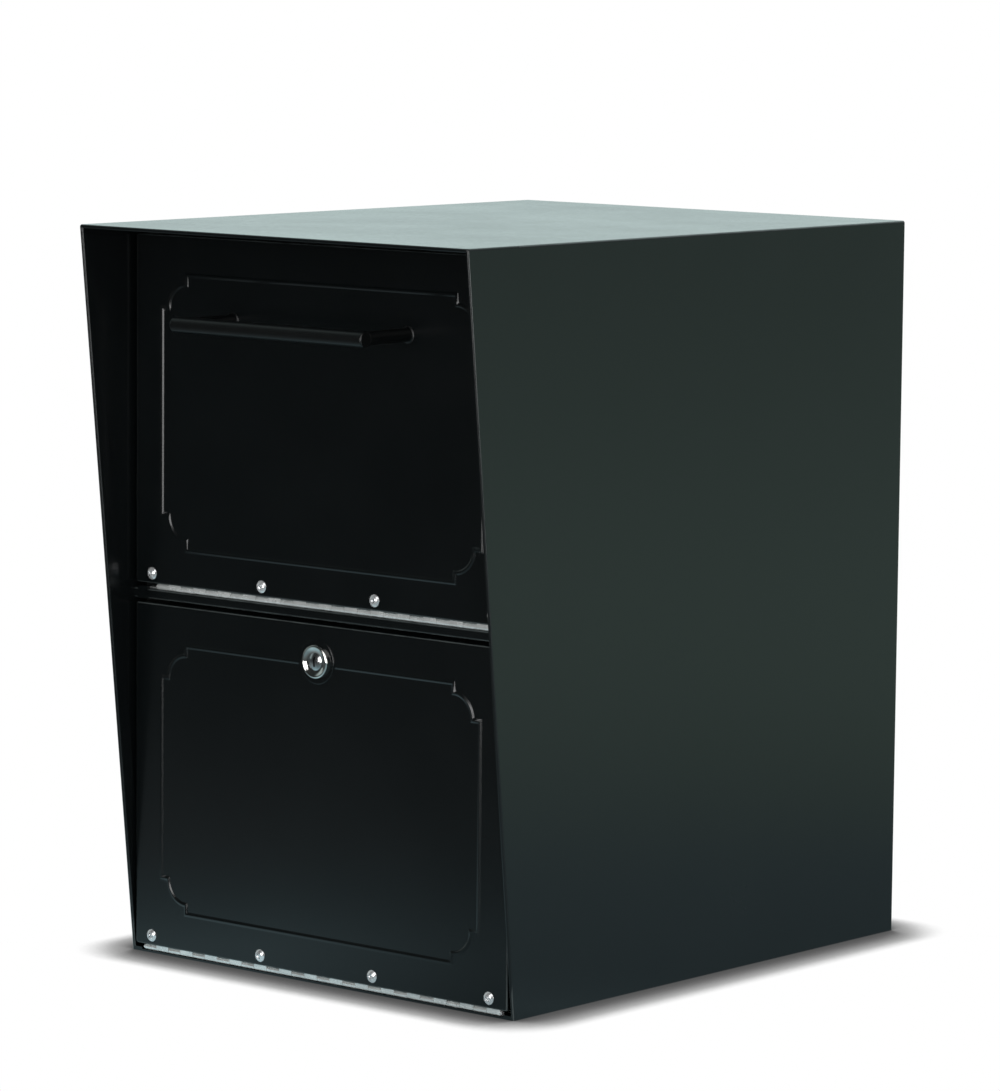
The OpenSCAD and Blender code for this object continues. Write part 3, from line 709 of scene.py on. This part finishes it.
def door_skin(name, node, z_range):
    """A door's outer sheet with its folded edges and its raised bead."""
    low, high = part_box(node)
    low.y += BEAD_H
    shell = door_rows(low, high)
    bead = bead_rows(z_range, low.y)
    verts = [p for ring in shell for p in ring]
    faces = loft(shell, caps=False)
    last = (len(shell) - 1) * len(shell[0])
    faces.append(tuple(last + i for i in range(len(shell[0]))))
    start = len(verts)
    verts += [p for ring in bead for p in ring]
    faces += loft(bead, caps=False, start=start)
    count = len(bead[0])
    rim = start + (len(bead) - 1) * count
    faces.append(tuple(rim + i for i in range(count)))
    outer = [Vector((p[0], p[2], 0)) for p in shell[0]]
    inner = [Vector((p[0], p[2], 0)) for p in bead[0]]
    index = list(range(len(shell[0]))) + list(range(start, start + count))
    for triangle in tessellate_polygon([outer, inner]):
        faces.append(tuple(index[i] for i in triangle))
    return mesh_object(name, verts, faces)


def door_skins():
    for name, node, z_range, body in (
        ("upper_door_sheet", "upper_door_skin", UPPER_PANEL_Z, "upper_door"),
        ("lower_door_sheet", "lower_door_skin", LOWER_PANEL_Z, "lower_door"),
    ):
        skin = door_skin(name, node, z_range)
        adopt(skin, body, node, DOOR)


# ---- Handle ----


def handle():
    """A round bar with softened ends on two posts that flare where they meet the door."""
    axis_y = BAR_LO.y + BAR_R
    axis_z = (BAR_LO.z + BAR_HI.z) / 2
    end = BAR_HI.x
    lip = [(BAR_R - BAR_EDGE + r, end - BAR_EDGE + x)
           for r, x in arc((0, 0), BAR_EDGE, 0, math.pi / 2, BEND_STEPS)]
    half = [(BAR_R, 0.0), (BAR_R, end / 2)] + lip
    half += [(BAR_R * END_SHARE, end), (BAR_R * CORE_SHARE, end)]
    profile = [(r, -x) for r, x in reversed(half[1:])] + half
    bar = lathe_x("handle_bar", profile, axis_y, axis_z)
    foot = BAR_HI.y
    core = POST_R * CORE_SHARE
    turns = [math.pi / 2 * i / BEND_STEPS for i in range(BEND_STEPS + 1)]
    flare = [(POST_R + POST_FLARE * (1 - math.sin(t)), foot - POST_FLARE * (1 - math.cos(t)))
             for t in turns]
    post_profile = [(core, foot)] + flare + [(POST_R, axis_y), (core, axis_y)]
    for x in (-POST_X, POST_X):
        unite(bar, lathe_y("handle_post", post_profile, x, axis_z))
    adopt(bar, "upper_door", "handle", HANDLE)


# ---- Screws ----


def screw_row(name, body, node):
    """A row of domed screws, each with a cross recess turned its own way."""
    low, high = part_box(node)
    radius = (high.z - low.z) / 2
    z = (high.z + low.z) / 2
    seat = low.y + SCREW_HEAD_H
    wide = math.sin(DOME_TURN)
    tall = 1 - math.cos(DOME_TURN)
    profile = [(SCREW_CORE_R / wide, low.y)]
    for i in range(1, DOME_STEPS + 1):
        t = DOME_TURN * i / DOME_STEPS
        drop = (SCREW_HEAD_H - SCREW_RIM) * (1 - math.cos(t)) / tall
        profile.append((radius * math.sin(t) / wide, low.y + drop))
    profile += [(radius, seat), (SHANK_R, seat), (SHANK_R, high.y - SCREW_RIM)]
    profile += [(SHANK_R - SCREW_RIM, high.y), (SCREW_CORE_R, high.y)]
    blade_high = (RECESS_L / 2, RECESS_D, RECESS_W / 2)
    blade_low = tuple(-size for size in blade_high)
    row = []
    for index, share in enumerate(SCREW_SHARES):
        x = share * (high.x - radius)
        screw = lathe_y(name, profile, x, z)
        for quarter in (0, 90):
            turn = math.radians(quarter + FIRST_TURN + TURN_BETWEEN * index)
            blade = box_tool("blade", blade_low, blade_high)
            blade.data.transform(Matrix.Translation((x, low.y, z)) @ Matrix.Rotation(turn, 4, "Y"))
            cut_from(screw, blade)
        row.append(screw)
    adopt(join_meshes(name, row), body, node, BRIGHT)


# ---- Lock ----


def lock_housing():
    """A round bezel with a rolled rim and a dished face, on a threaded barrel."""
    front = BEZEL_LO.y
    seat = WASHER_LO.y
    back = BEZEL_HI.y
    outer = (BEZEL_HI.x - BEZEL_LO.x) / 2
    roll = (seat - front) / 2
    rim = [(outer - roll + r, front + roll - y)
           for r, y in arc((0, 0), roll, 0, math.pi / 2, RIM_STEPS)]
    mouth = outer - roll - RIM_FLAT
    dish = [(mouth, front + RIM_STEP)]
    for i in range(1, DISH_STEPS + 1):
        share = i / DISH_STEPS
        depth = DISH_D * math.sin(share * math.pi / 2)
        dish.append((mouth - share * (mouth - BORE_R), front + RIM_STEP + depth))
    thread = []
    turn = seat + THREAD_START
    while turn < back - THREAD_PITCH:
        thread += [(BARREL_R, turn), (BARREL_R - THREAD_D, turn + THREAD_PITCH / 2)]
        turn += THREAD_PITCH
    profile = [(BARREL_R, seat), (outer, seat)] + rim + dish
    profile += [(BORE_R, back), (BARREL_R - THREAD_D, back)] + thread[::-1]
    piece = loft_ring("lock_bezel", profile, LOCK_X, LOCK_Z)
    adopt(piece, "lower_door", "lock_housing", CHROME)


def lock_escutcheon():
    """A thin round washer with a rolled edge, under the bezel."""
    outer = (WASHER_HI.x - WASHER_LO.x) / 2
    thick = WASHER_HI.y - WASHER_LO.y
    roll = [(outer - thick + r, WASHER_HI.y - y)
            for r, y in arc((0, 0), thick, 0, math.pi / 2, BEND_STEPS)]
    hole = BARREL_R + WASHER_GAP
    profile = [(hole, WASHER_HI.y)] + roll + [(hole, WASHER_LO.y)]
    piece = loft_ring("lock_washer", profile, LOCK_X, LOCK_Z)
    adopt(piece, "lower_door", "lock_escutcheon", DOOR)


# ---- Stage, light and camera ----


def emitter(name, size, centre, aim, radiance):
    """A soft card of a given brightness that shows only in reflections."""
    lamp = bpy.data.lights.new(name, "AREA")
    lamp.shape = "RECTANGLE"
    lamp.size = size[0]
    lamp.size_y = size[1]
    lamp.energy = radiance * math.pi * size[0] * size[1]
    obj = bpy.data.objects.new(name, lamp)
    obj.location = centre
    obj.rotation_euler = (Vector(aim) - Vector(centre)).to_track_quat("-Z", "Y").to_euler()
    obj.visible_camera = False
    obj.visible_diffuse = False
    bpy.context.scene.collection.objects.link(obj)


class Stage:
    """Short calls for the node trees of the floor and the surround."""

    def __init__(self, tree, place="Object"):
        self.tree = tree
        self.place = place
        tree.nodes.clear()

    def add(self, kind, **settings):
        node = self.tree.nodes.new(kind)
        for key, value in settings.items():
            setattr(node, key, value)
        return node

    def link(self, a, b):
        self.tree.links.new(a, b)

    def ramp(self, value, stops):
        node = self.add("ShaderNodeValToRGB")
        while len(node.color_ramp.elements) < len(stops):
            node.color_ramp.elements.new(0.5)
        for element, (at, level, tint) in zip(node.color_ramp.elements, stops):
            element.position = at
            element.color = (*(level * c for c in tint), 1)
        self.link(value, node.inputs["Fac"])
        return node.outputs["Color"]

    def maths(self, operation, a, b):
        node = self.add("ShaderNodeMath", operation=operation)
        self.link(a, node.inputs[0])
        self.link(b, node.inputs[1])
        return node.outputs["Value"]

    def along(self, direction, low, high, out_low=0.0, out_high=1.0):
        """Where a point lies along a direction, as a value that runs between two distances."""
        place = self.add("ShaderNodeTexCoord")
        dot = self.add("ShaderNodeVectorMath", operation="DOT_PRODUCT")
        dot.inputs[1].default_value = direction
        span = self.add("ShaderNodeMapRange")
        span.inputs["From Min"].default_value = low
        span.inputs["From Max"].default_value = high
        span.inputs["To Min"].default_value = out_low
        span.inputs["To Max"].default_value = out_high
        self.link(place.outputs[self.place], dot.inputs[0])
        self.link(dot.outputs["Value"], span.inputs["Value"])
        return span.outputs["Result"]

    def openness(self, reach):
        """How open a point is to the sky, counting only what is within reach."""
        node = self.add("ShaderNodeAmbientOcclusion", samples=16)
        node.inputs["Distance"].default_value = reach
        return node.outputs["AO"]


# Tints of the light that the paint mirrors: the room, and the floor by where it lies
ROOM_TINT = (0.82, 1.0, 0.985)
NEAR_TINT = (0.69, 1.0, 1.09)
FRONT_TINT = (0.84, 1.0, 1.04)
SIDE_TINT = (0.70, 1.0, 0.88)
# Level ground direction in which the view is mirrored by the right side, and the one across it
MIRRORED = (0.64, 0.757, 0.0)
ACROSS = (0.757, -0.64, 0.0)
FLOOR_SPAN = 8.0
# Distance along MIRRORED in metres, and the brightness and tint of the floor there in reflections
FLOOR_LIGHT = [
    (-8.0, 0.02, FRONT_TINT), (-2.4, 0.04, FRONT_TINT), (-1.7, 0.055, FRONT_TINT),
    (-1.1, 0.12, FRONT_TINT), (-0.7, 0.21, FRONT_TINT), (-0.5, 0.34, NEAR_TINT), (-0.3, 0.60, NEAR_TINT),
    (0.1, 0.30, NEAR_TINT), (0.6, 0.35, NEAR_TINT), (1.0, 0.48, SIDE_TINT), (1.5, 0.60, SIDE_TINT),
    (2.2, 0.66, SIDE_TINT), (4.0, 0.55, SIDE_TINT), (8.0, 0.43, SIDE_TINT),
]
# Direction of the bright part of the room, and the brightness by nearness to it
SKY_TOWARDS = (-0.58, 0.80, 0.15)
SKY_LIGHT = [
    (0.0, 0.02, ROOM_TINT), (0.1, 0.05, ROOM_TINT), (0.25, 0.28, ROOM_TINT),
    (0.5, 0.45, ROOM_TINT), (0.7, 0.85, ROOM_TINT), (0.85, 1.10, ROOM_TINT),
]
# Dimming of the mirrored floor towards the front right and the back left: two distances in
# metres and the values there. The first of each pair says where the second applies.
FRONT_WHERE = (-0.2, 0.0)
FRONT_DIM = (0.11, 0.27, 1.0, 0.5)
BACK_WHERE = (0.0, 0.1, 1.0, 0.0)
BACK_DIM = (0.0, 0.29, 0.84, 1.0)
FLOOR_GREY = (0.86, 0.86, 0.86, 1)
ROOM_WHITE = (1, 1, 1, 1)
ROOM_STRENGTH = 1.05
FLOOR_REACH = 60.0
# Painted contact shadow: the openness of the floor beside the box, and the brightness its glow is given
# there
PLAIN = (1.0, 1.0, 1.0)
PAINTED_CONTACT_SHADOW = [(0.5, 0.08, PLAIN), (0.7, 0.14, PLAIN), (0.9, 0.45, PLAIN), (1.0, 1.0, PLAIN)]
CONTACT_REACH = 0.045


def floor_material():
    """White glowing floor with a narrow contact shadow painted into its glow by how open each point is.
    In reflections it is darker further away.
    """
    mat = bpy.data.materials.new("floor")
    mat.use_nodes = True
    nodes = Stage(mat.node_tree)
    out = nodes.add("ShaderNodeOutputMaterial")
    path = nodes.add("ShaderNodeLightPath")
    matt = nodes.add("ShaderNodeBsdfDiffuse")
    matt.inputs["Color"].default_value = FLOOR_GREY
    mirrored = nodes.add("ShaderNodeEmission")
    stops = [((at + FLOOR_SPAN) / (2 * FLOOR_SPAN), level, tint) for at, level, tint in FLOOR_LIGHT]
    distance = nodes.along(MIRRORED, -FLOOR_SPAN, FLOOR_SPAN)
    nodes.link(nodes.ramp(distance, stops), mirrored.inputs["Color"])
    front = nodes.maths("MAXIMUM", nodes.along(MIRRORED, *FRONT_WHERE),
                        nodes.along(ACROSS, *FRONT_DIM))
    back = nodes.maths("MAXIMUM", nodes.along(MIRRORED, *BACK_WHERE),
                       nodes.along(ACROSS, *BACK_DIM))
    nodes.link(nodes.maths("MULTIPLY", front, back), mirrored.inputs["Strength"])
    # The floor as the camera sees it glows, with the contact shadow painted into its colour.
    seen = nodes.add("ShaderNodeEmission")
    nodes.link(nodes.ramp(nodes.openness(CONTACT_REACH), PAINTED_CONTACT_SHADOW), seen.inputs["Color"])
    first = nodes.add("ShaderNodeMixShader")
    nodes.link(path.outputs["Is Camera Ray"], first.inputs["Fac"])
    nodes.link(matt.outputs[0], first.inputs[1])
    nodes.link(seen.outputs[0], first.inputs[2])
    second = nodes.add("ShaderNodeMixShader")
    nodes.link(path.outputs["Is Glossy Ray"], second.inputs["Fac"])
    nodes.link(first.outputs[0], second.inputs[1])
    nodes.link(mirrored.outputs[0], second.inputs[2])
    nodes.link(second.outputs[0], out.inputs["Surface"])
    return mat


def surround():
    """White room. In reflections it is bright behind the box and dark in front of it."""
    world = bpy.data.worlds.new("studio")
    bpy.context.scene.world = world
    world.use_nodes = True
    nodes = Stage(world.node_tree, "Generated")
    out = nodes.add("ShaderNodeOutputWorld")
    path = nodes.add("ShaderNodeLightPath")
    plain = nodes.add("ShaderNodeBackground")
    plain.inputs["Color"].default_value = ROOM_WHITE
    plain.inputs["Strength"].default_value = ROOM_STRENGTH
    room = nodes.add("ShaderNodeBackground")
    nodes.link(nodes.ramp(nodes.along(SKY_TOWARDS, 0.0, 1.0), SKY_LIGHT), room.inputs["Color"])
    mix = nodes.add("ShaderNodeMixShader")
    nodes.link(path.outputs["Is Glossy Ray"], mix.inputs["Fac"])
    nodes.link(plain.outputs[0], mix.inputs[1])
    nodes.link(room.outputs[0], mix.inputs[2])
    nodes.link(mix.outputs[0], out.inputs["Surface"])


def studio():
    """The floor, the room and three cards."""
    mesh = bpy.data.meshes.new("floor")
    corners = [(x * FLOOR_REACH, y * FLOOR_REACH, 0) for x, y in ((-1, -1), (1, -1), (1, 1), (-1, 1))]
    mesh.from_pydata(corners, [], [(0, 1, 2, 3)])
    mesh.materials.append(floor_material())
    new_object("floor", mesh)
    surround()
    # Low cards in front and at the right light the edges, beads and fittings that face them.
    # They end below the height at which the top would mirror them from behind.
    emitter("card_front", (1.1, 0.85), (0.25, -2.05, 0.50), (0, 0, 0.35), 5.0)
    emitter("card_right", (1.0, 0.85), (1.9, -0.75, 0.50), (0, 0, 0.35), 5.0)
    # A dimmer high card fills the upper right of the chrome; level faces don't mirror it.
    emitter("card_high", (2.8, 1.5), (1.35, -1.55, 1.75), (0, 0, 0.3), 1.5)


def camera():
    """The main viewpoint: the box turned 40 degrees, seen from a little above."""
    azimuth = 0.7043
    elevation = 0.1212
    roll = 0.0095
    eye = Vector((2521.97 * MM, -2764.06 * MM + FRONT_Y, 783.12 * MM))
    forward = Vector((
        -math.sin(azimuth) * math.cos(elevation),
        math.cos(azimuth) * math.cos(elevation),
        -math.sin(elevation),
    ))
    right = forward.cross(Vector((0, 0, 1))).normalized()
    up = right.cross(forward)
    right_rolled = right * math.cos(roll) + up * math.sin(roll)
    up_rolled = up * math.cos(roll) - right * math.sin(roll)
    data = bpy.data.cameras.new("camera")
    data.sensor_width = 36
    data.lens = 169.95
    data.clip_start = 0.05
    data.clip_end = 200
    obj = bpy.data.objects.new("camera", data)
    obj.matrix_world = Matrix((
        (right_rolled.x, up_rolled.x, -forward.x, eye.x),
        (right_rolled.y, up_rolled.y, -forward.y, eye.y),
        (right_rolled.z, up_rolled.z, -forward.z, eye.z),
        (0, 0, 0, 1),
    ))
    bpy.context.scene.collection.objects.link(obj)
    bpy.context.scene.camera = obj
    bpy.context.scene.view_settings.view_transform = "Standard"
    bpy.context.scene.view_settings.look = "None"


dress_cad_nodes()
hood_shell()
cross_rail()
door_skins()
handle()
screw_row("upper_screws", "upper_door", "upper_hinge_screws")
screw_row("lower_screws", "lower_door", "lower_hinge_screws")
lock_housing()
lock_escutcheon()
studio()
camera()
